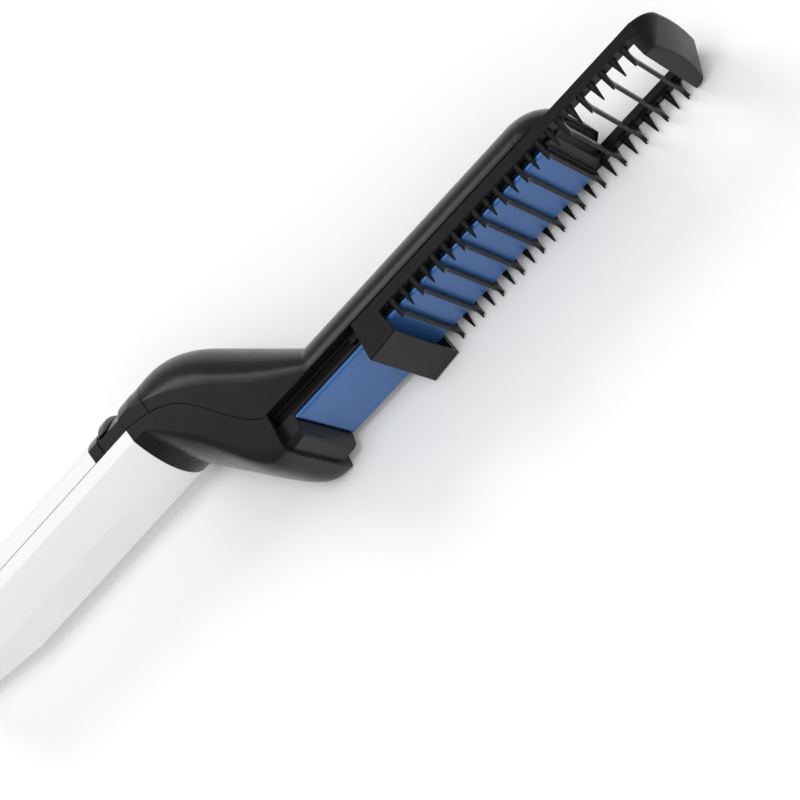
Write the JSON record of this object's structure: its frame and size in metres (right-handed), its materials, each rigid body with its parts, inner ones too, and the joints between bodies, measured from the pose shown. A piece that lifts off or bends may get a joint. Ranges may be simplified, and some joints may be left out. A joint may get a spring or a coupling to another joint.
{
  "type": "hot comb",
  "caption": "Straight-handled hot comb with a cranked neck, a heated flat plate, and a sliding comb of cross ribs and side teeth with a hollow tip cap.",
  "frame": {"origin": "centre of the cord inlet in the handle's rear end face, on the handle's axis and its parting plane", "axes": "+X from the cord inlet to the comb's tip, -Y the way the heating plate and the teeth face, +Z out of one side; the tool lies on its -Z side"},
  "size_m": [0.2915, 0.0571, 0.035],
  "materials": {
    "white_shell": "satin",
    "black_shell": "fine matt",
    "black_frame": "fine matt",
    "black_comb": "fine matt",
    "blue_plate": "satin",
    "steel": "satin",
    "clamp_alloy": "satin",
    "strip_brass": "satin",
    "ceramic": "matt",
    "film_amber": "gloss",
    "board_green": "satin",
    "component_black": "matt",
    "gland_rubber": "matt",
    "wire_red": "satin",
    "wire_white": "satin"
  },
  "bodies": {
    "tool": {"handle_front_shell": "white_shell", "handle_back_shell": "white_shell", "cord_gland": "gland_rubber", "cord_clamp": "component_black", "cord_clamp_screws": "steel", "switch_bezel": "black_shell", "switch_body": "component_black", "circuit_board": "board_green", "board_components": "component_black", "board_screws": "steel", "handle_screws": "steel", "neck_front_shell": "black_shell", "neck_back_shell": "black_shell", "neck_rear_cap": "black_shell", "neck_screw": "steel", "head_frame": "black_frame", "head_screws": "steel", "heating_plate": "blue_plate", "plate_screws": "steel", "plate_film": "film_amber", "ptc_heaters": "ceramic", "contact_strips": "strip_brass", "insulation_sheet": "film_amber", "heater_clamp": "clamp_alloy", "heater_screws": "steel", "thermal_fuse": "steel", "fuse_clip": "strip_brass", "live_lead": "wire_red", "neutral_lead": "wire_white", "fuse_lead": "wire_red"},
    "slider": {"switch_slider": "black_shell", "switch_lever": "component_black"},
    "comb": {"comb_attachment": "black_comb"}
  },
  "joints": [
    {"name": "comb_slide", "type": "slide", "parent": "tool", "child": "comb", "axis": [1, 0, 0], "range_m": [-0.0337, 0.07]},
    {"name": "switch_slide", "type": "slide", "parent": "tool", "child": "slider", "axis": [1, 0, 0], "range_m": [0, 0.0043]}
  ]
}
